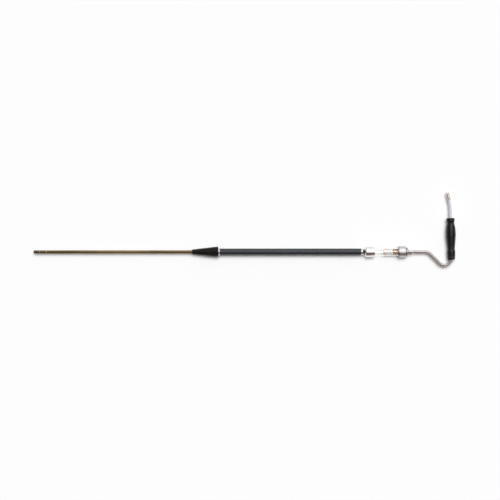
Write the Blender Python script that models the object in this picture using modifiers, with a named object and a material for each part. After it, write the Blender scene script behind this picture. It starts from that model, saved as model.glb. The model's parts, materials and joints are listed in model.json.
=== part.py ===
"""Soil probe for drawing gas out of a bar hole, lying flat as it is laid down on a bench.

Metres. +X runs along the probe from the tip to the grip, +Y towards the hose nozzle, +Z up.
The origin is the centre of the tip's flat end face, and the probe's axis is the X axis.
"""

from math import cos, pi, radians, sin

import bmesh
import bpy
from mathutils import Matrix, Vector

# ---- driving dimensions -------------------------------------------------------------------
GAP = 0.0003            # clearance between two pieces that touch

# lance and its tip
LANCE_R = 0.0036        # outer radius of the thin tube that goes into the ground
LANCE_BORE = 0.0025
LANCE_END_X = 0.8000    # the tube runs inside the sleeve as far as the neck nipple
FIT_R = LANCE_R + GAP   # bore of every piece that sits round the lance
TIP_HEAD = 0.0030
TIP_CHAMFER = 0.0006
TIP_SHANK = 0.0060
INLET_R = 0.0012
INLET_FIRST_X = 0.0140
INLET_STEP = 0.0080
INLET_ROWS = 3
EDGE = 0.0005           # chamfer of the collars' edges

# sealing cone
CONE_X0 = 0.3800
CONE_X1 = 0.4425
CONE_SMALL_R = 0.00575
CONE_LARGE_R = 0.0130
CONE_NOSE = 0.0006      # chamfer of the small end
CONE_RIM = 0.0012       # chamfer of the large end
CONE_LIP = 0.0140       # length in which the rubber itself fits the lance
CONE_BUSH_R = 0.0060
O_RING_R = 0.0009
O_RING_SIDES = 10       # sides of the ring's round section

# sleeve and its two collars
SLEEVE_X0 = 0.4468
SLEEVE_X1 = 0.7853
SLEEVE_R = 0.0080
SLEEVE_BORE = 0.0065
FRONT_COLLAR_R = 0.0090
REAR_COLLAR_R = 0.0078
REAR_COLLAR_X1 = 0.7901
COLLAR_SPIGOT = 0.0150
SPACER_LENGTH = 0.0080
SPACER_COUNT = 2

# neck nipple and front union nut
NECK_R = 0.0048
FLANGE_R = 0.0097
FLANGE_LENGTH = 0.0034
NUT_FRONT_X0 = 0.7949
NUT_FRONT_X1 = 0.8180
NUT_FRONT_R = 0.0130
NUT_FRONT_DOME = 0.0045
DOME_STEPS = 5
NUT_FRONT_RIM = 0.0046  # length of the lower rim at the chamber's side
NUT_FRONT_RIM_R = 0.0119
NUT_LIP = 0.0049        # thickness of the inward lip that pulls on a flange
NUT_BORE = 0.01005
NUT_CHAMFER = 0.0006

# clear chamber between the nuts
SIGHT_R = 0.00975
SIGHT_BORE = 0.00775
SIGHT_X1 = 0.8860
SEAL_R = 0.0094
SEAL_BORE = 0.0050
SEAL_LENGTH = 0.0018

# filter cartridge in the chamber
CARTRIDGE_R = 0.0074
RING_X0 = 0.8407
RING_X1 = 0.8474
RING_BORE = 0.0045
FELT_X1 = 0.8615
FELT_R = 0.0072
FELT_BORE = 0.0020
CAGE_WALL = 0.0012
CAGE_CUP = 0.0160       # depth of the cage's open cup
CAGE_BORE = 0.0025
PORT_X = 0.8695
PORT_R = 0.0033
PORT_COUNT = 4
PORT_TURN = radians(24)  # how far the first port is turned from straight up
GAUZE_R = 0.0058
GAUZE_BORE = 0.0030

# rear union nut, swivel spigot and tube gland
NUT_REAR_X0 = 0.8750
NUT_REAR_X1 = 0.8976
NUT_REAR_R = 0.01425    # the thin flange at the chamber's side
NUT_REAR_FLANGE = 0.0022
NUT_REAR_BODY_R = 0.0138
NUT_REAR_TAPER = 0.0004
NUT_GROOVE_X0 = 0.8932
NUT_GROOVE_X1 = 0.8950
NUT_GROOVE_R = 0.0096
NUT_BOSS_R = 0.0106
SPIGOT_SHANK_R = 0.0052
SPIGOT_FLANGE = 0.0026
SPIGOT_X1 = 0.8990
GLAND_X1 = 0.9095
GLAND_FLATS = 0.0102
OLIVE_R = 0.0044
OLIVE_LENGTH = 0.0041
GLAND_POCKET_R = 0.0047

# crank tube, in the XY plane
TUBE_R = 0.0035
TUBE_WALL = 0.0011
TUBE_FIT_R = TUBE_R + GAP
TUBE_X0 = 0.8923
BEND_X = 0.9396         # where the first bend begins
BEND_R = 0.0165
FIRST_BEND = radians(45)
DIAGONAL = 0.0320
GRIP_HEADING = radians(91.2)
TAIL_HEADING = radians(102.5)
TAIL_BEND_Y = 0.1020    # where the tube above the grip begins to bend
TAIL_BEND_LENGTH = 0.0190
TAIL_STRAIGHT = 0.0036
BEND_STEP = radians(11.25)
TUBE_RINGS = 6          # bevel resolution, which gives 16 sides
JOIN_Y = 0.0300         # where the two tubes meet inside the grip
COUPLER_LENGTH = 0.0240
COUPLER_R = 0.0050
COUPLER_STOP = 0.0010   # half the length of the rib between the two tubes

# grip, measured from its upper end
GRIP_TOP_Y = 0.0810
GRIP_LENGTH = 0.1000
GRIP_RING_LENGTH = 0.0057
GRIP_OUTLINE = (        # distance from the upper end, radius
    (0.0000, 0.0088), (0.0012, 0.0099), (0.0065, 0.0100), (0.0090, 0.0092), (0.0118, 0.00865),
    (0.0150, 0.0092), (0.0190, 0.0105), (0.0240, 0.0113), (0.0290, 0.0118), (0.0360, 0.0120),
    (0.0430, 0.0119), (0.0530, 0.0110), (0.0620, 0.0100), (0.0700, 0.00930), (0.0740, 0.00905),
    (0.0780, 0.0096), (0.0820, 0.0101), (0.0870, 0.0098), (0.0940, 0.0094),
)
GRIP_RING_R = 0.0094
GRIP_RING_END_R = 0.0085
GRIP_RING_BORE = 0.0046
GRIP_RING_EDGE = 0.0008
SCREW_R = 0.0015
SCREW_PLACE = 0.0860
SCREW_SIDES = 16
SCREW_LENGTH = 0.0042
SCREW_SEAT = 0.0040     # distance of the screw's point from the tube's axis
SCREW_SOCKET_R = 0.0007
SCREW_UNDERCUT = 0.0004 # how far the hole starts below the screw's point

# hose nozzle
NOZZLE_LENGTH = 0.0187
NOZZLE_R = 0.0040
NOZZLE_SHOULDER_R = 0.0047
NOZZLE_SHOULDER = 0.0022
NOZZLE_BARB_R = 0.0043
NOZZLE_TAPER = 0.0002   # how much thinner each barb starts than the one before
NOZZLE_SHANK_R = 0.0021
NOZZLE_SHANK = 0.0070
NOZZLE_BORE = 0.0013

FINE = 32               # sides of the larger turned pieces
PLAIN = 20              # sides of the small ones
HEXAGON = 6
PORT_SIDES = 20
INLET_SIDES = 12
SHARP = radians(32)     # edges sharper than this stay crisp
OVERSHOOT = 0.0020      # how far a cutter reaches past what it cuts

# ---- materials: colour, roughness, metallic, alpha ------------------------------------------
FINISHES = {
    "lance_bronze": ((0.30, 0.23, 0.115), 0.38, 1.0, 1.0),
    "cone_rubber": ((0.016, 0.014, 0.013), 0.62, 0.0, 1.0),
    "seal_rubber": ((0.012, 0.012, 0.012), 0.70, 0.0, 1.0),
    "bright_nickel": ((0.72, 0.71, 0.69), 0.16, 1.0, 1.0),
    "chrome": ((0.78, 0.78, 0.79), 0.08, 1.0, 1.0),
    "slate_sleeve": ((0.060, 0.068, 0.082), 0.34, 0.0, 1.0),
    "dark_steel": ((0.10, 0.10, 0.11), 0.40, 1.0, 1.0),
    "clear_acrylic": ((0.96, 0.97, 0.97), 0.05, 0.0, 0.25),
    "copper": ((0.72, 0.42, 0.31), 0.32, 1.0, 1.0),
    "brass": ((0.70, 0.45, 0.17), 0.25, 1.0, 1.0),
    "filter_felt": ((0.80, 0.79, 0.76), 0.95, 0.0, 1.0),
    "grey_gauze": ((0.30, 0.31, 0.34), 0.45, 1.0, 1.0),
    "white_nylon": ((0.82, 0.81, 0.77), 0.45, 0.0, 1.0),
    "stainless": ((0.60, 0.58, 0.56), 0.18, 1.0, 1.0),
    "satin_tube": ((0.62, 0.65, 0.72), 0.38, 1.0, 1.0),
    "grip_plastic": ((0.010, 0.010, 0.012), 0.28, 0.0, 1.0),
}

PARTS = "soil_probe"
CUTTERS = "soil_probe_cutters"


def clear_scene():
    """Removes every object, so that the script can be run again in the same file."""
    for obj in list(bpy.data.objects):
        bpy.data.objects.remove(obj, do_unlink=True)
    for name in (PARTS, CUTTERS):
        old = bpy.data.collections.get(name)
        if old:
            bpy.data.collections.remove(old)


def new_collection(name):
    made = bpy.data.collections.new(name)
    bpy.context.scene.collection.children.link(made)
    return made


def finish_material(name):
    """The Principled material of one finish, made once."""
    found = bpy.data.materials.get(name)
    if found:
        return found
    colour, roughness, metallic, alpha = FINISHES[name]
    made = bpy.data.materials.new(name)
    made.use_nodes = True
    shader = made.node_tree.nodes["Principled BSDF"]
    shader.inputs["Base Color"].default_value = (*colour, 1.0)
    shader.inputs["Roughness"].default_value = roughness
    shader.inputs["Metallic"].default_value = metallic
    shader.inputs["Alpha"].default_value = alpha
    made.diffuse_color = (*colour, alpha)
    return made


def add_object(name, data, collection):
    made = bpy.data.objects.new(name, data)
    collection.objects.link(made)
    return made


def place_on(obj, start, heading):
    """Puts an object whose local Z is its axis at start, with that axis at heading in the XY plane."""
    obj.location = start
    obj.rotation_euler = (0, pi / 2, heading)


def bake(obj):
    """Turns an object's modifiers or its curve into a plain smooth mesh with sharp edges."""
    bpy.context.view_layer.update()
    graph = bpy.context.evaluated_depsgraph_get()
    mesh = bpy.data.meshes.new_from_object(obj.evaluated_get(graph))
    mesh.shade_smooth()
    mesh.set_sharp_from_angle(angle=SHARP)
    return mesh


def turned(name, outline, collection, sides=FINE, start=(0, 0, 0), heading=0.0):
    """A turned piece. The outline is a list of (distance along the axis, radius): it runs along
    the outer side away from the start, and back along the bore. It is closed into a loop unless
    both its ends lie on the axis."""
    profile = bpy.data.meshes.new(name)
    shape = bmesh.new()
    verts = [shape.verts.new((radius, 0, along)) for along, radius in reversed(outline)]
    for first, second in zip(verts, verts[1:]):
        shape.edges.new((first, second))
    if outline[0][1] > 0:
        shape.edges.new((verts[-1], verts[0]))
    shape.to_mesh(profile)
    shape.free()
    obj = add_object(name, profile, collection)
    screw = obj.modifiers.new("turn", "SCREW")
    screw.axis = "Z"
    screw.angle = 2 * pi
    screw.steps = sides
    screw.render_steps = sides
    screw.use_merge_vertices = True
    screw.merge_threshold = 0.00001
    mesh = bake(obj)
    obj.modifiers.clear()
    obj.data = mesh
    bpy.data.meshes.remove(profile)
    mesh.name = name
    place_on(obj, start, heading)
    return obj


def tube_outline(x0, x1, outer, bore):
    return [(x0, outer), (x1, outer), (x1, bore), (x0, bore)]


def tube(name, x0, x1, outer, bore, collection, sides=FINE):
    return turned(name, tube_outline(x0, x1, outer, bore), collection, sides)


def cylinder_cutter(name, radius, length, matrix, collection, sides):
    """A cylinder centred on its matrix, with its axis along the matrix's Z."""
    mesh = bpy.data.meshes.new(name)
    shape = bmesh.new()
    bmesh.ops.create_cone(
        shape, cap_ends=True, segments=sides, radius1=radius, radius2=radius, depth=length
    )
    shape.to_mesh(mesh)
    shape.free()
    obj = add_object(name, mesh, collection)
    obj.matrix_world = matrix
    return as_cutter(obj)


def as_cutter(obj):
    obj.hide_render = True
    obj.display_type = "WIRE"
    return obj


def cut(obj, cutter):
    boolean = obj.modifiers.new("cut_" + cutter.name, "BOOLEAN")
    boolean.operation = "DIFFERENCE"
    boolean.solver = "EXACT"
    boolean.object = cutter
    return obj


def paint(obj, finish):
    obj.data.materials.clear()
    obj.data.materials.append(finish_material(finish))
    return obj


# ---- lance ------------------------------------------------------------------------------------
def make_lance(parts, cutters):
    shank_r = LANCE_BORE - GAP
    plug = turned("tip_plug", [
        (0, 0), (0, LANCE_R - TIP_CHAMFER), (TIP_CHAMFER, LANCE_R), (TIP_HEAD, LANCE_R),
        (TIP_HEAD, shank_r), (TIP_HEAD + TIP_SHANK, shank_r), (TIP_HEAD + TIP_SHANK, 0),
    ], parts, PLAIN)
    paint(plug, "lance_bronze")

    lance = tube("lance_tube", TIP_HEAD + GAP, LANCE_END_X, LANCE_R, LANCE_BORE, parts, PLAIN)
    for row in range(INLET_ROWS):
        turn = Matrix.Rotation(row % 2 * pi / 2, 4, "X")
        place = Matrix.Translation((INLET_FIRST_X + row * INLET_STEP, 0, 0))
        cut(lance, cylinder_cutter(
            f"inlet_cutter_{row + 1}", INLET_R, 3 * LANCE_R, place @ turn, cutters, INLET_SIDES
        ))
    paint(lance, "lance_bronze")
    return [plug, lance]


# ---- sealing cone -----------------------------------------------------------------------------
def make_cone(parts):
    """A rubber cone on a bush, which slides on the lance and stays put by its O-ring."""
    slope = (CONE_LARGE_R - CONE_SMALL_R) / (CONE_X1 - CONE_X0)
    pocket_x = CONE_X0 + CONE_LIP
    pocket_r = CONE_BUSH_R + GAP
    cone = turned("sealing_cone", [
        (CONE_X0, CONE_SMALL_R - CONE_NOSE), (CONE_X0 + CONE_NOSE, CONE_SMALL_R),
        (CONE_X1 - CONE_RIM, CONE_LARGE_R - slope * CONE_RIM), (CONE_X1, CONE_LARGE_R - CONE_RIM),
        (CONE_X1, pocket_r), (pocket_x, pocket_r), (pocket_x, FIT_R), (CONE_X0, FIT_R),
    ], parts)
    paint(cone, "cone_rubber")

    bush_x0 = pocket_x + 2 * O_RING_R + 3 * GAP
    bush = tube("cone_bush", bush_x0, CONE_X1 - GAP, CONE_BUSH_R, FIT_R, parts, PLAIN)
    paint(bush, "brass")

    ring_x = pocket_x + O_RING_R + GAP
    ring_r = FIT_R + O_RING_R
    angles = [step * 2 * pi / O_RING_SIDES for step in range(O_RING_SIDES)]
    ring = turned("cone_o_ring", [
        (ring_x - O_RING_R * cos(angle), ring_r + O_RING_R * sin(angle)) for angle in angles
    ], parts, PLAIN)
    paint(ring, "seal_rubber")
    return [cone, bush, ring]


# ---- sleeve -----------------------------------------------------------------------------------
def make_sleeve(parts):
    """The stiff tube round the rear of the lance, on two collars and two spacer bushes."""
    spigot_r = SLEEVE_BORE - GAP
    front_x0 = CONE_X1 + GAP
    front_x1 = SLEEVE_X0 - GAP
    front = turned("front_collar", [
        (front_x0, FRONT_COLLAR_R - EDGE), (front_x0 + EDGE, FRONT_COLLAR_R),
        (front_x1 - EDGE, FRONT_COLLAR_R), (front_x1, FRONT_COLLAR_R - EDGE),
        (front_x1, spigot_r), (front_x1 + COLLAR_SPIGOT, spigot_r),
        (front_x1 + COLLAR_SPIGOT, FIT_R), (front_x0, FIT_R),
    ], parts)
    paint(front, "bright_nickel")

    sleeve = tube("sleeve_tube", SLEEVE_X0, SLEEVE_X1, SLEEVE_R, SLEEVE_BORE, parts)
    paint(sleeve, "slate_sleeve")

    rear_x0 = SLEEVE_X1 + GAP
    rear = turned("rear_collar", [
        (rear_x0 - COLLAR_SPIGOT, spigot_r), (rear_x0, spigot_r),
        (rear_x0, REAR_COLLAR_R - EDGE), (rear_x0 + EDGE, REAR_COLLAR_R),
        (REAR_COLLAR_X1 - EDGE, REAR_COLLAR_R), (REAR_COLLAR_X1, REAR_COLLAR_R - EDGE),
        (REAR_COLLAR_X1, FIT_R), (rear_x0 - COLLAR_SPIGOT, FIT_R),
    ], parts)
    paint(rear, "bright_nickel")

    made = [front, sleeve, rear]
    span = (SLEEVE_X1 - SLEEVE_X0) / (SPACER_COUNT + 1)
    for number in range(1, SPACER_COUNT + 1):
        middle = SLEEVE_X0 + number * span
        spacer = tube(
            f"spacer_bush_{number}", middle - SPACER_LENGTH / 2, middle + SPACER_LENGTH / 2,
            spigot_r, FIT_R, parts, PLAIN,
        )
        made.append(paint(spacer, "white_nylon"))
    return made


# ---- front union ------------------------------------------------------------------------------
def make_front_union(parts):
    """The nipple on the lance's rear end, its union nut and the seal against the chamber."""
    neck_x0 = REAR_COLLAR_X1 + GAP
    flange_x0 = NUT_FRONT_X0 + NUT_LIP + GAP
    flange_x1 = flange_x0 + FLANGE_LENGTH
    socket_x1 = LANCE_END_X + GAP
    nipple = turned("neck_nipple", [
        (neck_x0, NECK_R), (flange_x0, NECK_R), (flange_x0, FLANGE_R), (flange_x1, FLANGE_R),
        (flange_x1, LANCE_BORE), (socket_x1, LANCE_BORE), (socket_x1, FIT_R), (neck_x0, FIT_R),
    ], parts)
    paint(nipple, "dark_steel")

    dome = [
        (NUT_FRONT_X0 + NUT_FRONT_DOME * (1 - cos(angle)),
         NUT_FRONT_R - NUT_FRONT_DOME * (1 - sin(angle)))
        for angle in (step * pi / 2 / DOME_STEPS for step in range(DOME_STEPS + 1))
    ]
    rim_x = NUT_FRONT_X1 - NUT_FRONT_RIM
    nut = turned("front_union_nut", dome + [
        (rim_x - NUT_CHAMFER, NUT_FRONT_R), (rim_x, NUT_FRONT_R - NUT_CHAMFER),
        (rim_x, NUT_FRONT_RIM_R), (NUT_FRONT_X1 - NUT_CHAMFER, NUT_FRONT_RIM_R),
        (NUT_FRONT_X1, NUT_FRONT_RIM_R - NUT_CHAMFER),
        (NUT_FRONT_X1, NUT_BORE), (NUT_FRONT_X0 + NUT_LIP, NUT_BORE),
        (NUT_FRONT_X0 + NUT_LIP, NECK_R + GAP), (NUT_FRONT_X0, NECK_R + GAP),
    ], parts)
    paint(nut, "chrome")

    seal_x0 = flange_x1 + GAP
    seal = tube("front_seal", seal_x0, seal_x0 + SEAL_LENGTH, SEAL_R, SEAL_BORE, parts, PLAIN)
    paint(seal, "seal_rubber")

    sight = tube(
        "sight_tube", seal_x0 + SEAL_LENGTH + GAP, SIGHT_X1, SIGHT_R, SIGHT_BORE, parts
    )
    paint(sight, "clear_acrylic")
    return [nipple, nut, seal, sight]


# ---- filter cartridge -------------------------------------------------------------------------
def make_cartridge(parts, cutters):
    """What the clear chamber holds: a retaining ring, a felt filter, and a brass cage with round
    ports over a gauze element."""
    ring = tube("retaining_ring", RING_X0, RING_X1, CARTRIDGE_R, RING_BORE, parts, PLAIN)
    paint(ring, "copper")

    felt = tube("felt_filter", RING_X1 + GAP, FELT_X1, FELT_R, FELT_BORE, parts, PLAIN)
    paint(felt, "filter_felt")

    cage_x0 = FELT_X1 + GAP
    cage_x1 = SIGHT_X1 - GAP
    cup_r = CARTRIDGE_R - CAGE_WALL
    cage = turned("filter_cage", [
        (cage_x0, CARTRIDGE_R), (cage_x1, CARTRIDGE_R), (cage_x1, CAGE_BORE),
        (cage_x0 + CAGE_CUP, CAGE_BORE), (cage_x0 + CAGE_CUP, cup_r), (cage_x0, cup_r),
    ], parts)
    port_r = CARTRIDGE_R
    for number in range(PORT_COUNT):
        turn = Matrix.Rotation(-PORT_TURN + number * 2 * pi / PORT_COUNT, 4, "X")
        outwards = turn @ Vector((0, 0, port_r))
        place = Matrix.Translation(Vector((PORT_X, 0, 0)) + outwards)
        cut(cage, cylinder_cutter(
            f"port_cutter_{number + 1}", PORT_R, port_r, place @ turn, cutters, PORT_SIDES
        ))
    paint(cage, "brass")

    gauze = tube(
        "gauze_element", cage_x0 + GAP, cage_x0 + CAGE_CUP - GAP, GAUZE_R, GAUZE_BORE, parts, PLAIN
    )
    paint(gauze, "grey_gauze")
    return [ring, felt, cage, gauze]


# ---- rear union -------------------------------------------------------------------------------
def make_rear_union(parts, cutters):
    """The rear seal and nut, and the spigot, olive and gland nut that carry the crank tube."""
    seal_x0 = SIGHT_X1 + GAP
    seal_x1 = seal_x0 + SEAL_LENGTH
    seal = tube("rear_seal", seal_x0, seal_x1, SEAL_R, SEAL_BORE, parts, PLAIN)
    paint(seal, "seal_rubber")

    flange_x0 = seal_x1 + GAP
    flange_x1 = flange_x0 + SPIGOT_FLANGE
    lip_x = flange_x1 + GAP
    flange_end = NUT_REAR_X0 + NUT_REAR_FLANGE
    body_end_r = NUT_REAR_BODY_R - NUT_REAR_TAPER
    nut = turned("rear_union_nut", [
        (NUT_REAR_X0, NUT_REAR_R), (flange_end, NUT_REAR_R), (flange_end, NUT_REAR_BODY_R),
        (NUT_GROOVE_X0 - NUT_CHAMFER, body_end_r), (NUT_GROOVE_X0, body_end_r - NUT_CHAMFER),
        (NUT_GROOVE_X0, NUT_GROOVE_R), (NUT_GROOVE_X1, NUT_GROOVE_R), (NUT_GROOVE_X1, NUT_BOSS_R),
        (NUT_REAR_X1 - NUT_CHAMFER, NUT_BOSS_R), (NUT_REAR_X1, NUT_BOSS_R - NUT_CHAMFER),
        (NUT_REAR_X1, SPIGOT_SHANK_R + GAP), (lip_x, SPIGOT_SHANK_R + GAP), (lip_x, NUT_BORE),
        (NUT_REAR_X0, NUT_BORE),
    ], parts)
    paint(nut, "chrome")

    socket_x0 = TUBE_X0 - GAP
    spigot = turned("rear_spigot", [
        (flange_x0, FLANGE_R), (flange_x1, FLANGE_R), (flange_x1, SPIGOT_SHANK_R),
        (SPIGOT_X1, SPIGOT_SHANK_R), (SPIGOT_X1, TUBE_FIT_R), (socket_x0, TUBE_FIT_R),
        (socket_x0, CAGE_BORE), (flange_x0, CAGE_BORE),
    ], parts)
    paint(spigot, "bright_nickel")

    gland_x0 = SPIGOT_X1 + GAP
    pocket_x1 = gland_x0 + OLIVE_LENGTH + 2 * GAP
    corner_r = GLAND_FLATS / 2 / cos(pi / HEXAGON)
    gland = turned("gland_nut", [
        (gland_x0, 0), (gland_x0, corner_r), (GLAND_X1, corner_r), (GLAND_X1, 0),
    ], parts, HEXAGON)
    bore_x0 = gland_x0 - OVERSHOOT
    bore_x1 = GLAND_X1 + OVERSHOOT
    bore = turned("gland_bore_cutter", [
        (bore_x0, 0), (bore_x0, GLAND_POCKET_R), (pocket_x1, GLAND_POCKET_R),
        (pocket_x1, TUBE_FIT_R), (bore_x1, TUBE_FIT_R), (bore_x1, 0),
    ], cutters, PLAIN)
    cut(gland, as_cutter(bore))
    paint(gland, "bright_nickel")

    olive_x0 = gland_x0 + GAP
    third = OLIVE_LENGTH / 3
    bevel_r = (OLIVE_R + TUBE_FIT_R) / 2
    olive = turned("gland_olive", [
        (olive_x0, bevel_r), (olive_x0 + third, OLIVE_R), (olive_x0 + 2 * third, OLIVE_R),
        (olive_x0 + OLIVE_LENGTH, bevel_r), (olive_x0 + OLIVE_LENGTH, TUBE_FIT_R),
        (olive_x0, TUBE_FIT_R),
    ], parts, PLAIN)
    paint(olive, "brass")
    return [seal, nut, spigot, gland, olive]


# ---- crank tube -------------------------------------------------------------------------------
def go_straight(path, heading, length):
    path.append(path[-1] + Vector((cos(heading), sin(heading), 0)) * length)
    return heading


def go_round(path, heading, turn, radius):
    """Adds an arc that begins tangent to heading: a positive turn is anticlockwise."""
    side = 1 if turn > 0 else -1
    start = path[-1]
    centre = start + Vector((-sin(heading), cos(heading), 0)) * radius * side
    steps = max(2, round(abs(turn) / BEND_STEP))
    for step in range(1, steps + 1):
        spoke = Matrix.Rotation(turn * step / steps, 3, "Z") @ (start - centre)
        path.append(centre + spoke)
    return heading + turn


def on_grip_axis(grip_run, y):
    """The point of the grip's axis at a given Y."""
    along = (y - grip_run.y) / sin(GRIP_HEADING)
    return grip_run + Vector((cos(GRIP_HEADING), sin(GRIP_HEADING), 0)) * along


def tube_paths():
    """The centre lines of the crank tube and of the tail tube, which meet inside the grip, and
    the place where the grip's straight run begins."""
    crank = [Vector((TUBE_X0, 0, 0))]
    heading = go_straight(crank, 0.0, BEND_X - TUBE_X0)
    heading = go_round(crank, heading, -FIRST_BEND, BEND_R)
    heading = go_straight(crank, heading, DIAGONAL)
    heading = go_round(crank, heading, GRIP_HEADING - heading, BEND_R)
    grip_run = crank[-1].copy()
    crank.append(on_grip_axis(grip_run, JOIN_Y - COUPLER_STOP - GAP))

    tail = [
        on_grip_axis(grip_run, JOIN_Y + COUPLER_STOP + GAP), on_grip_axis(grip_run, TAIL_BEND_Y)
    ]
    turn = TAIL_HEADING - GRIP_HEADING
    heading = go_round(tail, GRIP_HEADING, turn, TAIL_BEND_LENGTH / turn)
    go_straight(tail, heading, TAIL_STRAIGHT)
    return crank, tail, grip_run


def make_tube(name, path, finish, parts):
    """A curve gives the tube's outer skin, and Solidify gives it its wall."""
    curve = bpy.data.curves.new(name, "CURVE")
    curve.dimensions = "3D"
    curve.bevel_depth = TUBE_R
    curve.bevel_resolution = TUBE_RINGS
    spline = curve.splines.new("POLY")
    spline.points.add(len(path) - 1)
    for point, place in zip(spline.points, path):
        point.co = (*place, 1.0)
    guide = add_object(name + "_guide", curve, parts)
    mesh = bake(guide)
    bpy.data.objects.remove(guide, do_unlink=True)
    mesh.name = name
    obj = add_object(name, mesh, parts)
    wall = obj.modifiers.new("wall", "SOLIDIFY")
    wall.thickness = TUBE_WALL
    wall.offset = -1.0
    return paint(obj, finish)


# ---- grip and nozzle --------------------------------------------------------------------------
def make_grip(grip_run, parts, cutters):
    """The moulded grip round the tube, its end ring, and the grub screw that locks it."""
    down = GRIP_HEADING + pi
    top = on_grip_axis(grip_run, GRIP_TOP_Y)
    body_end = GRIP_OUTLINE[-1][0]
    coupler_middle = (GRIP_TOP_Y - JOIN_Y) / sin(GRIP_HEADING)
    room = COUPLER_LENGTH / 2 + GAP
    room_x0 = coupler_middle - room
    room_x1 = coupler_middle + room
    room_r = COUPLER_R + GAP
    grip = turned("grip", [
        *GRIP_OUTLINE, (body_end, TUBE_FIT_R), (room_x1, TUBE_FIT_R), (room_x1, room_r),
        (room_x0, room_r), (room_x0, TUBE_FIT_R), (0, TUBE_FIT_R),
    ], parts, FINE, top, down)

    half_edge = GRIP_RING_EDGE / 2
    ring_start = body_end + GAP
    ring = turned("grip_end_ring", [
        (ring_start, GRIP_RING_R - half_edge), (ring_start + half_edge, GRIP_RING_R),
        (GRIP_LENGTH - GRIP_RING_EDGE, GRIP_RING_END_R + half_edge),
        (GRIP_LENGTH, GRIP_RING_END_R - half_edge),
        (GRIP_LENGTH, GRIP_RING_BORE), (ring_start, GRIP_RING_BORE),
    ], parts, FINE, top, down)

    bore = TUBE_R - TUBE_WALL
    end = COUPLER_LENGTH / 2
    coupler = turned("tube_coupler", [
        (-end, COUPLER_R), (end, COUPLER_R), (end, TUBE_FIT_R), (COUPLER_STOP, TUBE_FIT_R),
        (COUPLER_STOP, bore), (-COUPLER_STOP, bore), (-COUPLER_STOP, TUBE_FIT_R),
        (-end, TUBE_FIT_R),
    ], parts, PLAIN, on_grip_axis(grip_run, JOIN_Y), down)
    paint(coupler, "brass")

    # The screw lies under the grip: the grip's local X points down, to -Z.
    screw_place = top + Vector((cos(down), sin(down), 0)) * SCREW_PLACE
    screw_turn = Matrix.Rotation(pi, 4, "X")
    hole_start = SCREW_SEAT - SCREW_UNDERCUT
    hole_end = GRIP_OUTLINE[0][1] + OVERSHOOT * 2
    middle = (hole_start + hole_end) / 2
    hole = Matrix.Translation(screw_place - Vector((0, 0, middle))) @ screw_turn
    cut(grip, cylinder_cutter(
        "screw_hole_cutter", SCREW_R + GAP, hole_end - hole_start, hole, cutters, SCREW_SIDES
    ))
    paint(grip, "grip_plastic")
    paint(ring, "grip_plastic")

    socket_depth = SCREW_LENGTH / 2
    screw = turned("grip_screw", [
        (0, 0), (0, SCREW_R), (SCREW_LENGTH, SCREW_R), (SCREW_LENGTH, SCREW_SOCKET_R),
        (SCREW_LENGTH - socket_depth, SCREW_SOCKET_R), (SCREW_LENGTH - socket_depth, 0),
    ], parts, SCREW_SIDES)
    screw.matrix_world = Matrix.Translation(screw_place - Vector((0, 0, SCREW_SEAT))) @ screw_turn
    paint(screw, "dark_steel")
    return [grip, ring, coupler, screw]


def make_nozzle(end, parts):
    """The hose nozzle, whose shank sits in the crank tube's open end."""
    shoulder = GAP + NOZZLE_SHOULDER
    barb = (NOZZLE_LENGTH - shoulder) / 3
    nozzle = turned("hose_nozzle", [
        (-NOZZLE_SHANK, NOZZLE_SHANK_R), (GAP, NOZZLE_SHANK_R),
        (GAP, NOZZLE_SHOULDER_R), (shoulder, NOZZLE_SHOULDER_R),
        (shoulder, NOZZLE_R), (shoulder + barb, NOZZLE_R), (shoulder + barb, NOZZLE_BARB_R),
        (shoulder + 2 * barb, NOZZLE_R - NOZZLE_TAPER), (shoulder + 2 * barb, NOZZLE_BARB_R),
        (NOZZLE_LENGTH, NOZZLE_R - 2 * NOZZLE_TAPER),
        (NOZZLE_LENGTH, NOZZLE_BORE), (-NOZZLE_SHANK, NOZZLE_BORE),
    ], parts, PLAIN, end, TAIL_HEADING)
    return paint(nozzle, "chrome")


def hang_on(name, place, pieces, parts):
    """Parents pieces to an empty on their joint's axis, and leaves them where they are."""
    pivot = add_object(name, None, parts)
    pivot.empty_display_size = 0.02
    pivot.location = place
    for piece in pieces:
        piece.parent = pivot
        piece.matrix_parent_inverse = Matrix.Translation(-Vector(place))
    return pivot


def main():
    clear_scene()
    parts = new_collection(PARTS)
    cutters = new_collection(CUTTERS)
    make_lance(parts, cutters)
    cone_pieces = make_cone(parts)
    make_sleeve(parts)
    nipple, front_nut, front_seal, sight = make_front_union(parts)
    make_cartridge(parts, cutters)
    rear_seal, rear_nut, spigot, gland, olive = make_rear_union(parts, cutters)
    crank_path, tail_path, grip_run = tube_paths()
    crank = make_tube("crank_tube", crank_path, "stainless", parts)
    tail = make_tube("tail_tube", tail_path, "satin_tube", parts)
    grip_pieces = make_grip(grip_run, parts, cutters)
    nozzle = make_nozzle(tail_path[-1], parts)
    hang_on("cone_slide_axis", (CONE_X0, 0, 0), cone_pieces, parts)
    hang_on("front_nut_axis", (NUT_FRONT_X0, 0, 0), [front_nut], parts)
    hang_on("rear_nut_axis", (NUT_REAR_X0, 0, 0), [rear_nut], parts)
    crank_pieces = [spigot, gland, olive, crank, tail, *grip_pieces, nozzle]
    hang_on("crank_swivel_axis", (SPIGOT_X1, 0, 0), crank_pieces, parts)
    bpy.context.view_layer.update()


main()
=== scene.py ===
"""Looks of the soil probe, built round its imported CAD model, in metres and in the CAD's frame.

+X runs along the probe from the tip to the grip, +Y towards the hose nozzle, +Z up.
"""
import json
from math import cos, pi, radians, sin

import bmesh
import bpy
from mathutils import Matrix, Vector


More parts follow.
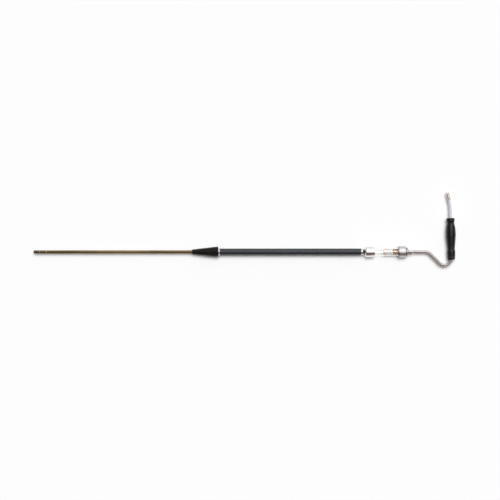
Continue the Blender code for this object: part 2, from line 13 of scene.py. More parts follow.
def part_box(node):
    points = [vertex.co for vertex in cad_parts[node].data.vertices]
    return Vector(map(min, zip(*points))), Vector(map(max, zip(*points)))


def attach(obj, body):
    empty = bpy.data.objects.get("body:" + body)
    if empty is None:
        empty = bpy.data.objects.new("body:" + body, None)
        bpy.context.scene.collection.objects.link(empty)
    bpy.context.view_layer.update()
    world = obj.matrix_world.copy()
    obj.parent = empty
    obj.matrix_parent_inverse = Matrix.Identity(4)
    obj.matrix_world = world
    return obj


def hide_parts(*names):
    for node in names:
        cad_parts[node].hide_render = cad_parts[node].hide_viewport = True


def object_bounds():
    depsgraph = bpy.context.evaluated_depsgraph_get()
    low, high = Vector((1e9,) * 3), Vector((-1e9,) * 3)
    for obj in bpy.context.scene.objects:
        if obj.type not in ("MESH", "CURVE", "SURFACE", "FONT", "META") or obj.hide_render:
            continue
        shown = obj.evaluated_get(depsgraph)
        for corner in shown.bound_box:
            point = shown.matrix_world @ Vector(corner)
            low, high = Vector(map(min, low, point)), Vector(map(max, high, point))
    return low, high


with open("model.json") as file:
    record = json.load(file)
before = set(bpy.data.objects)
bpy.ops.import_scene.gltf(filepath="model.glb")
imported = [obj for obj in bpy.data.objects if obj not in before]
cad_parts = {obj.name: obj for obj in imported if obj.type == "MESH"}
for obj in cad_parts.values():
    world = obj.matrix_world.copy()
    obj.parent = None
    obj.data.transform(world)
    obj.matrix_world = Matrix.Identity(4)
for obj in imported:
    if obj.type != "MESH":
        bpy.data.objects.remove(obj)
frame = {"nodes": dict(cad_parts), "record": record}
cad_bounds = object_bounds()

# ---- sizes that the frame doesn't give --------------------------------------------------------
GAP = 0.0003            # the clearance that the CAD leaves between neighbouring pieces
TUBE_WALL = 0.0011
LANCE_BORE = 0.0025
UNION_BORE = 0.01005    # inside both union nuts
GROOVE_X0, GROOVE_X1 = 0.8932, 0.8950       # the groove near the rear nut's far end
SOCKET_X = 0.8920       # the bottom of the rear spigot's socket for the crank tube

# The crank tube's route: straight, down the diagonal, and round into the grip's axis.
BEND_X = 0.9396
BEND_R = 0.0165
FIRST_BEND = radians(45)
DIAGONAL = 0.0320
GRIP_HEADING = radians(91.2)

# The tail tube's route: it meets the crank tube at JOIN_Y, inside the grip.
JOIN_Y = 0.0300
COUPLER_STOP = 0.0010
TAIL_BEND_Y = 0.1020
TAIL_BEND_LENGTH = 0.0190
TAIL_STRAIGHT = 0.0036
TAIL_HEADING = radians(102.5)

GRIP_TOP_Y = 0.0810
GRIP_LENGTH = 0.1000

# ---- fineness of the meshes -------------------------------------------------------------------
ROUND = 128             # sides of the large turned pieces
FINE_ROUND = 180        # sides of the pieces with parting lines
NUT_ROUND = 160
HEX_ROUND = 144
SMALL_ROUND = 72
HOLE_ROUND = 48
INLET_ROUND = 36
ARC = 5                 # steps in a rounded edge
SHARP = radians(40)     # edges sharper than this stay crisp
BEND_STEP = radians(2.5)


# ---- shapes -----------------------------------------------------------------------------------
def span(node):
    """A node's first and last X, and its radius from its height."""
    low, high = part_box(node)
    return low.x, high.x, (high.z - low.z) / 2


def rounded(corners):
    """An outline from corners (along, radius, rounding): each rounding is the length that a soft
    edge takes from both sides of its corner. A corner with two numbers stays sharp."""
    outline = []
    count = len(corners)
    for index, corner in enumerate(corners):
        here = Vector(corner[:2])
        size = corner[2] if len(corner) > 2 else 0
        before = Vector(corners[index - 1][:2]) - here
        after = Vector(corners[(index + 1) % count][:2]) - here
        if not size:
            outline.append(here)
            continue
        start = here + before.normalized() * min(size, before.length * 0.48)
        end = here + after.normalized() * min(size, after.length * 0.48)
        for step in range(ARC + 1):
            t = step / ARC
            outline.append(start * (1 - t) ** 2 + here * 2 * t * (1 - t) + end * t ** 2)
    return outline


def smooth_line(points, steps):
    """A Catmull-Rom line through the points, with that many steps between each two."""
    ends = [points[0], *points, points[-1]]
    line = []
    for a, b, c, d in zip(ends, ends[1:], ends[2:], ends[3:]):
        a, b, c, d = Vector(a), Vector(b), Vector(c), Vector(d)
        for step in range(steps):
            t = step / steps
            line.append(0.5 * (
                2 * b + (c - a) * t + (2 * a - 5 * b + 4 * c - d) * t ** 2
                + (3 * b - a - 3 * c + d) * t ** 3
            ))
    line.append(Vector(points[-1]))
    return line


def mesh_object(name, shape):
    """A smooth object from a bmesh, with even normals on its flat faces."""
    bmesh.ops.recalc_face_normals(shape, faces=shape.faces)
    mesh = bpy.data.meshes.new(name)
    shape.to_mesh(mesh)
    shape.free()
    mesh.shade_smooth()
    mesh.set_sharp_from_angle(angle=SHARP)
    obj = bpy.data.objects.new(name, mesh)
    bpy.context.scene.collection.objects.link(obj)
    return obj


def even_normals(obj):
    """Keeps the flat faces beside a rounded edge flat in the light."""
    weighted = obj.modifiers.new("even_normals", "WEIGHTED_NORMAL")
    weighted.keep_sharp = True
    return obj


def turned(name, outline, sides=ROUND, start=(0, 0, 0), heading=0.0, relief=None):
    """A piece turned about its own axis, which runs from start at heading in the XY plane. The
    outline is a closed loop of (along, radius). relief(along, radius, angle) changes a radius."""
    shape = bmesh.new()
    axis = Vector((cos(heading), sin(heading), 0))
    side = Vector((-sin(heading), cos(heading), 0))
    up = Vector((0, 0, 1))
    rings = []
    for along, radius in outline:
        centre = Vector(start) + axis * along
        if radius <= 0:
            rings.append([shape.verts.new(centre)])
            continue
        ring = []
        for index in range(sides):
            angle = index * 2 * pi / sides
            reach = relief(along, radius, angle) if relief else radius
            ring.append(shape.verts.new(centre + (up * cos(angle) + side * sin(angle)) * reach))
        rings.append(ring)
    for first, second in zip(rings, rings[1:] + rings[:1]):
        if len(first) == 1 and len(second) == 1:
            continue
        for index in range(sides):
            after = (index + 1) % sides
            corners = [first[index % len(first)], first[after % len(first)],
                       second[after % len(second)], second[index % len(second)]]
            shape.faces.new(list(dict.fromkeys(corners)))
    return mesh_object(name, shape)


def cut_away(obj, cutter):
    """Cuts one mesh out of another, applies the cut and removes the cutter."""
    boolean = obj.modifiers.new("cut", "BOOLEAN")
    boolean.operation = "DIFFERENCE"
    boolean.solver = "EXACT"
    boolean.object = cutter
    return apply_modifiers(obj, cutter)


def apply_modifiers(obj, *helpers):
    """Makes a piece's modifiers part of its mesh, and removes the objects that they used."""
    bpy.context.view_layer.update()
    graph = bpy.context.evaluated_depsgraph_get()
    mesh = bpy.data.meshes.new_from_object(obj.evaluated_get(graph))
    obj.modifiers.clear()
    old, obj.data = obj.data, mesh
    bpy.data.meshes.remove(old)
    for helper in helpers:
        bpy.data.objects.remove(helper, do_unlink=True)
    mesh.shade_smooth()
    mesh.set_sharp_from_angle(angle=SHARP)
    return obj


def spike(profile, place, sides=INLET_ROUND):
    """A small turned solid about its own Z, to cut with or to keep: the profile runs from bottom
    to top, (height, radius)."""
    shape = bmesh.new()
    rings = []
    for height, radius in profile:
        rings.append([
            shape.verts.new(place @ Vector((radius * cos(a), radius * sin(a), height)))
            for a in (index * 2 * pi / sides for index in range(sides))
        ])
    for first, second in zip(rings, rings[1:]):
        for index in range(sides):
            after = (index + 1) % sides
            shape.faces.new((first[index], first[after], second[after], second[index]))
    shape.faces.new(list(reversed(rings[0])))
    shape.faces.new(rings[-1])
    return mesh_object("cutter", shape)


def swept(name, path, outer, bore, sides=SMALL_ROUND):
    """A tube along a path in the XY plane, open at both ends."""
    shape = bmesh.new()
    up = Vector((0, 0, 1))
    skins = []
    for radius in (outer, bore):
        rings = []
        for index, place in enumerate(path):
            ahead = path[min(index + 1, len(path) - 1)] - path[max(index - 1, 0)]
            side = up.cross(ahead).normalized()
            rings.append([
                shape.verts.new(place + (side * cos(a) + up * sin(a)) * radius)
                for a in (turn * 2 * pi / sides for turn in range(sides))
            ])
        skins.append(rings)
    outside, inside = skins
    loops = outside + inside[::-1]
    for first, second in zip(loops, loops[1:] + loops[:1]):
        for index in range(sides):
            after = (index + 1) % sides
            shape.faces.new((first[index], first[after], second[after], second[index]))
    return mesh_object(name, shape)


# ---- materials --------------------------------------------------------------------------------
def finish_material(name, colour, roughness, metallic=0.0, **uniform):
    """A Principled material with plain values, and its node tree, for patterns to be added to."""
    made = bpy.data.materials.new(name)
    made.use_nodes = True
    shader = made.node_tree.nodes["Principled BSDF"]
    shader.inputs["Base Color"].default_value = (*colour, 1.0)
    shader.inputs["Roughness"].default_value = roughness
    shader.inputs["Metallic"].default_value = metallic
    for socket, value in uniform.items():
        shader.inputs[socket.replace("_", " ")].default_value = value
    return made, made.node_tree, shader


def node(tree, kind, **settings):
    """A new node of a kind, with its settings."""
    made = tree.nodes.new(kind)
    for name, value in settings.items():
        setattr(made, name, value)
    return made


def noise(tree, size, stretch=(1, 1, 1), detail=3.0, roughness=0.5):
    """Noise with features of about size metres, drawn out along an axis by its stretch."""
    coords = node(tree, "ShaderNodeTexCoord")
    mapping = node(tree, "ShaderNodeMapping")
    mapping.inputs["Scale"].default_value = [1 / (size * s) for s in stretch]
    pattern = node(tree, "ShaderNodeTexNoise")
    pattern.inputs["Scale"].default_value = 1.0
    pattern.inputs["Detail"].default_value = detail
    pattern.inputs["Roughness"].default_value = roughness
    tree.links.new(coords.outputs["Object"], mapping.inputs["Vector"])
    tree.links.new(mapping.outputs["Vector"], pattern.inputs["Vector"])
    return pattern.outputs["Fac"]


def object_axis(tree, axis):
    """The place along the object's own X, Y or Z, in metres."""
    coords = node(tree, "ShaderNodeTexCoord")
    parts = node(tree, "ShaderNodeSeparateXYZ")
    tree.links.new(coords.outputs["Object"], parts.inputs["Vector"])
    return parts.outputs[axis]


def ramp(tree, factor, *stops):
    """A colour from a factor: each stop is (position, (red, green, blue))."""
    made = node(tree, "ShaderNodeValToRGB")
    elements = made.color_ramp.elements
    while len(elements) < len(stops):
        elements.new(1.0)
    for element, (position, colour) in zip(elements, stops):
        element.position = position
        element.color = (*colour, 1.0)
    tree.links.new(factor, made.inputs["Fac"])
    return made.outputs["Color"]


def remap(tree, factor, low, high, to_low, to_high):
    """Takes a factor from between low and high to between two others, easing in and out."""
    made = node(tree, "ShaderNodeMapRange")
    made.interpolation_type = "SMOOTHSTEP"
    for socket, value in zip(("From Min", "From Max", "To Min", "To Max"),
                             (low, high, to_low, to_high)):
        made.inputs[socket].default_value = value
    tree.links.new(factor, made.inputs["Value"])
    return made.outputs["Result"]


def mixed(tree, factor, first, second, blend="MIX"):
    """Two colours mixed by a factor. A colour is a socket or (red, green, blue)."""
    made = node(tree, "ShaderNodeMix", data_type="RGBA", blend_type=blend)
    for socket, value in ((made.inputs[0], factor), (made.inputs[6], first),
                          (made.inputs[7], second)):
        if isinstance(value, bpy.types.NodeSocket):
            tree.links.new(value, socket)
        elif isinstance(value, tuple):
            socket.default_value = (*value, 1.0)
        else:
            socket.default_value = value
    return made.outputs[2]


def maths(tree, operation, *values):
    """The result of a Math node. A value is a socket or a number."""
    made = node(tree, "ShaderNodeMath", operation=operation)
    for socket, value in zip(made.inputs, values):
        if isinstance(value, bpy.types.NodeSocket):
            tree.links.new(value, socket)
        else:
            socket.default_value = value
    return made.outputs[0]


def by_ray(tree, usual, *others):
    """A shader that differs for some kinds of light ray: each of others is (ray, shader)."""
    path = node(tree, "ShaderNodeLightPath")
    seen = usual
    for ray, shown in others:
        choice = node(tree, "ShaderNodeMixShader")
        tree.links.new(path.outputs[ray], choice.inputs[0])
        tree.links.new(seen, choice.inputs[1])
        tree.links.new(shown, choice.inputs[2])
        seen = choice.outputs[0]
    return seen


def bump(tree, shader, *layers):
    """Bumps one on top of another: each layer is (height factor, depth in metres)."""
    normal = None
    for height, depth in layers:
        made = node(tree, "ShaderNodeBump")
        made.inputs["Strength"].default_value = 1.0
        made.inputs["Distance"].default_value = depth
        tree.links.new(height, made.inputs["Height"])
        if normal:
            tree.links.new(normal, made.inputs["Normal"])
        normal = made.outputs["Normal"]
    tree.links.new(normal, shader.inputs["Normal"])


def feed(tree, shader, socket, value):
    """Links a value to one of the shader's sockets by its name."""
    tree.links.new(value, shader.inputs[socket])


def bronze_material():
    """Drawn bronze tube, dulled to olive, with streaks along it and wear at the tip."""
    made, tree, shader = finish_material("lance_bronze", (0.19, 0.134, 0.056), 0.34, 1.0)
    streaks = noise(tree, 0.0009, (60, 1, 1), 4.0, 0.6)
    mottle = noise(tree, 0.020, (2.5, 1, 1), 3.0)
    drawn = ramp(tree, streaks, (0.30, (0.140, 0.098, 0.038)), (0.50, (0.195, 0.139, 0.057)),
                 (0.72, (0.270, 0.200, 0.092)))
    tarnish = mixed(tree, remap(tree, mottle, 0.42, 0.68, 0.0, 0.55), drawn,
                    (0.132, 0.099, 0.040))
    along = object_axis(tree, "X")
    rise = remap(tree, along, 0.120, 0.165, 0.0, 1.0)
    fall = remap(tree, along, 0.240, 0.300, 1.0, 0.0)
    middle = maths(tree, "MULTIPLY", rise, fall)
    paler = mixed(tree, maths(tree, "MULTIPLY", middle, 0.35), tarnish, (0.360, 0.275, 0.130))
    tip = remap(tree, along, 0.0, 0.030, 0.55, 0.0)
    feed(tree, shader, "Base Color", mixed(tree, tip, paler, (0.065, 0.052, 0.034)))
    feed(tree, shader, "Roughness", remap(tree, mottle, 0.3, 0.7, 0.28, 0.46))
    bump(tree, shader, (streaks, 0.000012), (noise(tree, 0.0025), 0.000010))
    return made


def rubber_material(name, colour, roughness):
    """Moulded rubber: matt, with a fine grain, faint bloom and dust."""
    made, tree, shader = finish_material(name, colour, roughness, Specular_IOR_Level=0.22)
    grain = noise(tree, 0.0005, detail=2.0)
    bloom = noise(tree, 0.012, detail=4.0, roughness=0.6)
    pale = tuple(channel * 2.1 + 0.004 for channel in colour)
    feed(tree, shader, "Base Color",
         mixed(tree, remap(tree, bloom, 0.45, 0.75, 0.0, 0.8), colour, pale))
    feed(tree, shader, "Roughness",
         remap(tree, bloom, 0.35, 0.65, roughness - 0.07, roughness + 0.08))
    bump(tree, shader, (grain, 0.000020), (noise(tree, 0.004), 0.000030))
    return made


def turned_metal_material(name, colour, roughness, stain, mark=0.000004, polish=0.5, metallic=1.0):
    """Plated or bare metal turned on the probe's axis: fine rings, and a few fingermarks."""
    made, tree, shader = finish_material(name, colour, roughness, metallic)
    rings = noise(tree, 0.00018, (1, 400, 400), 2.0)
    handled = noise(tree, 0.006, detail=4.0, roughness=0.65)
    spots = remap(tree, handled, 0.52, 0.78, 0.0, polish)
    feed(tree, shader, "Base Color", mixed(tree, spots, colour, stain))
    feed(tree, shader, "Roughness", remap(tree, handled, 0.35, 0.75, roughness, roughness * 2.2))
    bump(tree, shader, (rings, mark))
    return made


def rear_nut_material():
    """Satin nickel, darker on the flange, with painted shade in the groove at its far end."""
    groove_shade_and_flange_tone, flange_darkening, groove_shade, edge = (0.03, 0.027, 0.025), 0.62, 0.22, 0.0002
    made = turned_metal_material(
        "rear_nut", (0.59, 0.58, 0.585), 0.22, (0.46, 0.445, 0.43), 0.000006)
    tree = made.node_tree
    shader = tree.nodes["Principled BSDF"]
    x0 = span("rear_union_nut")[0]
    along = object_axis(tree, "X")
    # the flange's colour is darkened a little
    flange = remap(tree, along, x0 + 0.0020, x0 + 0.0026, flange_darkening, 1.0)
    # painted shade: the groove's faces are mixed most of the way to near black, standing in for
    # the shade that falls inside the groove
    into = remap(tree, along, GROOVE_X0 - edge, GROOVE_X0 + edge, 1.0, groove_shade)
    out = remap(tree, along, GROOVE_X1 - edge, GROOVE_X1 + edge, groove_shade, 1.0)
    undarkened = maths(tree, "MULTIPLY", flange, maths(tree, "MAXIMUM", into, out))
    colour = shader.inputs["Base Color"].links[0].from_socket
    # the base colour takes the painted groove shade and the darker flange
    feed(tree, shader, "Base Color", mixed(tree, undarkened, groove_shade_and_flange_tone, colour))
    return made


def drawn_metal_material(name, colour, roughness, stain, metallic=1.0):
    """Drawn tube: faint mottling, and fine short scratches."""
    made, tree, shader = finish_material(name, colour, roughness, metallic)
    scratches = noise(tree, 0.0004, (1, 4, 2), 5.0, 0.7)
    clouds = noise(tree, 0.014, detail=3.0)
    feed(tree, shader, "Base Color",
         mixed(tree, remap(tree, clouds, 0.42, 0.72, 0.0, 0.45), colour, stain))
    feed(tree, shader, "Roughness",
         remap(tree, scratches, 0.35, 0.70, roughness * 0.85, roughness * 1.5))
    bump(tree, shader, (scratches, 0.000003))
    return made


def sleeve_material():
    """Slate grey coated tube: satin, with an even fine grain and paler rubbed places."""
    colour, rubbed = (0.0185, 0.0215, 0.0285), (0.036, 0.040, 0.050)
    made, tree, shader = finish_material("slate_sleeve", colour, 0.30)
    grain = noise(tree, 0.00045, (3, 1, 1), 2.0)
    wear = noise(tree, 0.018, (4, 1, 1), 5.0, 0.65)
    along = object_axis(tree, "X")
    x0, x1, _ = span("sleeve_tube")
    end_wear, reach = 0.5, 0.010
    ends = maths(tree, "MAXIMUM", remap(tree, along, x0, x0 + reach, end_wear, 0.0),
                 remap(tree, along, x1 - reach, x1, 0.0, end_wear))
    amount = maths(tree, "ADD", remap(tree, wear, 0.48, 0.74, 0.0, 0.45),
                   maths(tree, "MULTIPLY", ends, wear))
    feed(tree, shader, "Base Color", mixed(tree, amount, colour, rubbed))
    feed(tree, shader, "Roughness", remap(tree, wear, 0.30, 0.72, 0.20, 0.32))
    bump(tree, shader, (grain, 0.000010), (noise(tree, 0.006, (5, 1, 1)), 0.000012))
    return made


def clear_material():
    """Clear polished acrylic. Light on its way to other surfaces goes straight through it, so
    that it throws only a faint shadow."""
    made, tree, shader = finish_material(
        "clear_acrylic", (0.990, 0.994, 0.993), 0.02, Transmission_Weight=1.0, IOR=1.46
    )
    haze = noise(tree, 0.005, (3, 1, 1), 4.0, 0.6)
    feed(tree, shader, "Roughness", remap(tree, haze, 0.45, 0.80, 0.015, 0.075))
    bump(tree, shader, (noise(tree, 0.012, (4, 1, 1)), 0.000010))
    passing = node(tree, "ShaderNodeBsdfTransparent")
    passing.inputs["Color"].default_value = (0.940, 0.942, 0.938, 1.0)
    seen = by_ray(tree, shader.outputs[0], ("Is Shadow Ray", passing.outputs[0]),
                  ("Is Diffuse Ray", passing.outputs[0]))
    tree.links.new(seen, tree.nodes["Material Output"].inputs["Surface"])
    return made


def felt_material():
    """White filter felt: soft fibres, a little greyed."""
    undarkened, greyed = (0.80, 0.79, 0.78), (0.68, 0.665, 0.65)
    made, tree, shader = finish_material("filter_felt", undarkened, 0.95,
                                         Sheen_Weight=0.3, Sheen_Roughness=0.6)
    fibres = noise(tree, 0.0006, (1, 3, 2), 5.0, 0.7)
    soiling = noise(tree, 0.004, detail=3.0)
    feed(tree, shader, "Base Color",
         mixed(tree, remap(tree, soiling, 0.40, 0.75, 0.0, 0.5), undarkened, greyed))
    bump(tree, shader, (fibres, 0.00012))
    return made


def gauze_material():
    """Fine woven steel gauze, with its wires along and round the element, and painted shade in the
    openings between them.
    """
    wire, between = (0.30, 0.31, 0.35), (0.03, 0.03, 0.04)
    made, tree, shader = finish_material("grey_gauze", wire, 0.38, 1.0)
    mesh_pitch, element_r = 0.0007, 0.0058
    around = maths(tree, "ARCTAN2", object_axis(tree, "Y"), object_axis(tree, "Z"))
    wires_round = round(2 * pi * element_r / mesh_pitch)
    along = maths(tree, "MULTIPLY", object_axis(tree, "X"), 2 * pi / mesh_pitch)
    rings = maths(tree, "SINE", along)
    rows = maths(tree, "SINE", maths(tree, "MULTIPLY", around, float(wires_round)))
    weave = maths(tree, "MAXIMUM", rings, rows)
    # painted shade: the openings between the wires are near black, standing in for the shade
    # inside the element
    feed(tree, shader, "Base Color",
         mixed(tree, remap(tree, weave, 0.0, 0.9, 0.0, 1.0), between, wire))
    feed(tree, shader, "Roughness", remap(tree, noise(tree, 0.003), 0.3, 0.7, 0.3, 0.5))
    bump(tree, shader, (weave, 0.00010))
    return made


def nylon_material():
    """White nylon: yellowed in places, with a faint grain."""
    white, yellowed = (0.82, 0.81, 0.77), (0.70, 0.68, 0.62)
    made, tree, shader = finish_material("white_nylon", white, 0.42)
    feed(tree, shader, "Base Color",
         mixed(tree, remap(tree, noise(tree, 0.006), 0.4, 0.7, 0.0, 0.5), white, yellowed))
    bump(tree, shader, (noise(tree, 0.0004), 0.00001))
    return made


def grip_material():
    """Black moulded plastic: semi-gloss, with a fine spark-eroded grain and some handling."""
    colour, worn = (0.0048, 0.0048, 0.0062), (0.010, 0.010, 0.0125)
    made, tree, shader = finish_material("grip_plastic", colour, 0.27,
                                         Specular_Tint=(0.90, 0.90, 1.0, 1.0))
    grain = noise(tree, 0.00055, detail=2.0)
    handling = noise(tree, 0.014, (1, 2, 1), 4.0, 0.6)
    feed(tree, shader, "Base Color",
         mixed(tree, remap(tree, handling, 0.45, 0.75, 0.0, 0.7), colour, worn))
    feed(tree, shader, "Roughness", remap(tree, handling, 0.35, 0.70, 0.22, 0.36))
    bump(tree, shader, (grain, 0.000014), (noise(tree, 0.007), 0.000025))
    return made


MATERIALS = {
    "lance_bronze": bronze_material(),
    "cone_rubber": rubber_material("cone_rubber", (0.0048, 0.0040, 0.0037), 0.32),
    "seal_rubber": rubber_material("seal_rubber", (0.011, 0.011, 0.011), 0.66),
    "bright_nickel": turned_metal_material(
        "bright_nickel", (0.72, 0.71, 0.70), 0.24, (0.44, 0.42, 0.39), 0.000005),
    "warm_nickel": turned_metal_material(
        "warm_nickel", (0.78, 0.735, 0.675), 0.18, (0.46, 0.41, 0.35), 0.000005),
    "chrome": turned_metal_material(
        "chrome", (0.80, 0.80, 0.81), 0.07, (0.74, 0.71, 0.68), 0.0000025, 0.35),
    "slate_sleeve": sleeve_material(),
    "rear_nut": rear_nut_material(),
    "dark_steel": turned_metal_material(
        "dark_steel", (0.085, 0.085, 0.092), 0.34, (0.16, 0.13, 0.10), 0.000010),
    "clear_acrylic": clear_material(),
    "copper": turned_metal_material(
        "copper", (0.86, 0.68, 0.60), 0.36, (0.68, 0.49, 0.41), 0.000008, metallic=0.45),
    "brass": turned_metal_material(
        "brass", (0.46, 0.28, 0.14), 0.40, (0.34, 0.21, 0.11), 0.000007, metallic=0.6),
    "filter_felt": felt_material(),
    "grey_gauze": gauze_material(),
    "white_nylon": nylon_material(),
    "stainless": drawn_metal_material("stainless", (0.46, 0.432, 0.418), 0.17, (0.37, 0.33, 0.30)),
    "satin_tube": drawn_metal_material(
        "satin_tube", (0.80, 0.83, 0.90), 0.48, (0.70, 0.72, 0.78), 0.55),
    "grip_plastic": grip_material(),
}
SLOT_OF = {part["node"]: part["material_slot"] for part in frame["record"]["subparts"]}
BODY_OF = {
    name: body for body, names in frame["record"]["behaviour"]["bodies"].items() for name in names
}


def stand_for(obj, name, look=None):
    """Gives a piece the body, slot and material of the CAD node that it stands for, or a look
    of its own within that slot."""
    slot = SLOT_OF[name]
    obj.data.materials.clear()
    obj.data.materials.append(MATERIALS[look or slot])
    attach(obj, BODY_OF[name])
    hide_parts(name)
    return even_normals(obj)


def keep_cad(*names):
    """CAD nodes that are shown as they are, in the finish of their slot."""
    for name in names:
        obj = frame["nodes"][name]
        obj.data.materials.clear()
        obj.data.materials.append(MATERIALS[SLOT_OF[name]])


# ---- lance ------------------------------------------------------------------------------------
LANCE_R = span("lance_tube")[2]
FIT_R = LANCE_R + GAP           # a bore that fits over the lance


def make_lance():
    """The bronze tube with its inlet holes, and the plug that closes its tip."""
    x0, x1, _ = span("lance_tube")
    lance = turned("lance", rounded([
        (x0, LANCE_R, 0.0003), (x1, LANCE_R, 0.0003), (x1, LANCE_BORE), (x0, LANCE_BORE),
    ]), SMALL_ROUND)
    inlet_x, inlet_step, inlet_r, mouth_r = 0.0140, 0.0080, 0.0012, 0.0017
    hole = [(0.0, inlet_r), (LANCE_R - 0.00025, inlet_r), (LANCE_R + 0.0006, mouth_r)]
    for row in range(3):
        for turn in (0, pi):
            place = Matrix.Translation((inlet_x + row * inlet_step, 0, 0)) @ \
                Matrix.Rotation(row % 2 * pi / 2 + turn, 4, "X")
            cut_away(lance, spike(hole, place))
    stand_for(lance, "lance_tube")

    x0, x1, radius = span("tip_plug")
    head_x = x0 + 0.0030
    shank = LANCE_BORE - GAP
    plug = turned("lance_tip", rounded([
        (x0 + 0.0001, 0), (x0, 0.0004), (x0, radius, 0.0009), (head_x, radius, 0.0002),
        (head_x, shank), (x1, shank, 0.0004), (x1, 0),
    ]), SMALL_ROUND)
    stand_for(plug, "tip_plug")


# ---- sealing cone -----------------------------------------------------------------------------
def parting_ridge(angle, height, half_width):
    """How far a moulding's skin lies below its two parting lines, at an angle round it."""
    off = abs(abs((angle + pi / 2) % (2 * pi) - pi) - pi / 2)
    return height * (1 - max(0.0, 1 - off / half_width))


def make_cone():
    """Moulded rubber cone with a groove at its nose, one at its rim and two parting lines."""
    low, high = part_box("sealing_cone")
    x0, x1, large = low.x, high.x, (high.z - low.z) / 2
    small, lip = 0.00575, 0.0012
    pocket_x, pocket_r = x0 + 0.0140, 0.0063
    slope = (large - small) / (x1 - lip - x0)

    def on_side(along, rounding=0.0, depth=0.0):
        return along, small + slope * (along - x0) - depth, rounding

    def parting(along, radius, angle):
        if radius < on_side(along)[1] - lip:
            return radius
        return radius - parting_ridge(angle, 0.00012, 0.035)

    cone = turned("rubber_cone", rounded([
        (x0, small - 0.0002, 0.0007), on_side(x0 + 0.0022, 0.0004),
        on_side(x0 + 0.0026, 0.0003, 0.0003), on_side(x0 + 0.0034, 0.0004),
        *(on_side(x0 + (x1 - x0) * step / 8) for step in range(1, 8)),
        on_side(x1 - 0.0050, 0.0003), on_side(x1 - 0.0046, 0.0003, 0.0004),
        on_side(x1 - 0.0038, 0.0003, 0.0004), on_side(x1 - 0.0034, 0.0003),
        (x1 - lip, large, 0.0006), (x1, large - 0.0011, 0.0006), (x1, pocket_r, 0.0002),
        (pocket_x, pocket_r), (pocket_x, FIT_R), (x0, FIT_R, 0.0003),
    ]), FINE_ROUND, relief=parting)
    stand_for(cone, "sealing_cone")

    x0, x1, radius = span("cone_bush")
    bush = turned("cone_liner", rounded([
        (x0, radius, 0.0004), (x1, radius, 0.0004), (x1, FIT_R, 0.0006), (x0, FIT_R, 0.0003),
    ]), SMALL_ROUND)
    stand_for(bush, "cone_bush")
    keep_cad("cone_o_ring")


# ---- sleeve -----------------------------------------------------------------------------------
def make_sleeve():
    """The coated sleeve between two plated collars, whose spigots sit in its ends."""
    sleeve_x0, sleeve_x1, sleeve_r = span("sleeve_tube")
    bore = 0.0065
    sleeve = turned("sleeve", rounded([
        (sleeve_x0, sleeve_r, 0.0007), (sleeve_x1, sleeve_r, 0.0007), (sleeve_x1, bore, 0.0002),
        (sleeve_x0, bore, 0.0002),
    ]))
    stand_for(sleeve, "sleeve_tube")

    spigot = bore - GAP
    x0, x1, radius = span("front_collar")
    shoulder = sleeve_x0 - GAP
    middle = (x0 + shoulder) / 2
    front = turned("front_ring", rounded([
        (x0, radius, 0.0005), (middle - 0.0004, radius, 0.0001), (middle, radius - 0.0004, 0.0001),
        (middle + 0.0004, radius, 0.0001), (shoulder, radius, 0.0005), (shoulder, spigot),
        (x1, spigot, 0.0004), (x1, FIT_R), (x0, FIT_R, 0.0003),
    ]))
    stand_for(front, "front_collar")

    x0, x1, radius = span("rear_collar")
    shoulder = sleeve_x1 + GAP
    rear = turned("rear_ring", rounded([
        (x0, spigot, 0.0004), (shoulder, spigot), (shoulder, radius, 0.0006),
        (x1, radius, 0.0009), (x1, FIT_R, 0.0003), (x0, FIT_R),
    ]))
    stand_for(rear, "rear_collar")
    keep_cad("spacer_bush_1", "spacer_bush_2")


# ---- front union ------------------------------------------------------------------------------
def make_front_union():
    """The dark neck and the polished union nut at the chamber's front."""
    x0, x1, flange_r = span("neck_nipple")
    nut_x0, nut_x1, nut_r = span("front_union_nut")
    neck_r, lip = 0.0048, 0.0049
    flange_x = nut_x0 + lip + GAP
    stop_x = span("lance_tube")[1] + GAP
    groove = nut_x0 - 0.0022
    neck = turned("neck", rounded([
        (x0, neck_r, 0.0003), (groove - 0.0006, neck_r, 0.0002), (groove, neck_r - 0.0006, 0.0002),
        (groove + 0.0006, neck_r, 0.0002), (flange_x, neck_r), (flange_x, flange_r, 0.0003),
        (x1, flange_r, 0.0003), (x1, LANCE_BORE), (stop_x, LANCE_BORE), (stop_x, FIT_R),
        (x0, FIT_R, 0.0003),
    ]), SMALL_ROUND)
    stand_for(neck, "neck_nipple")

    end_r, rim, rim_r = 0.0106, nut_x1 - 0.0046, 0.0119
    groove_x = rim - 0.0030
    nut = turned("front_nut", rounded([
        (nut_x0, end_r, 0.0009), (nut_x0 + 0.0020, nut_r, 0.0016),
        (groove_x - 0.0004, nut_r, 0.0002), (groove_x, nut_r - 0.0005, 0.0002),
        (groove_x + 0.0004, nut_r, 0.0002), (rim, nut_r, 0.0008), (rim, rim_r, 0.0003),
        (nut_x1, rim_r, 0.0007), (nut_x1, UNION_BORE, 0.0003), (nut_x0 + lip, UNION_BORE),
        (nut_x0 + lip, neck_r + GAP), (nut_x0, neck_r + GAP, 0.0003),
    ]), NUT_ROUND)
    stand_for(nut, "front_union_nut")
    keep_cad("front_seal")


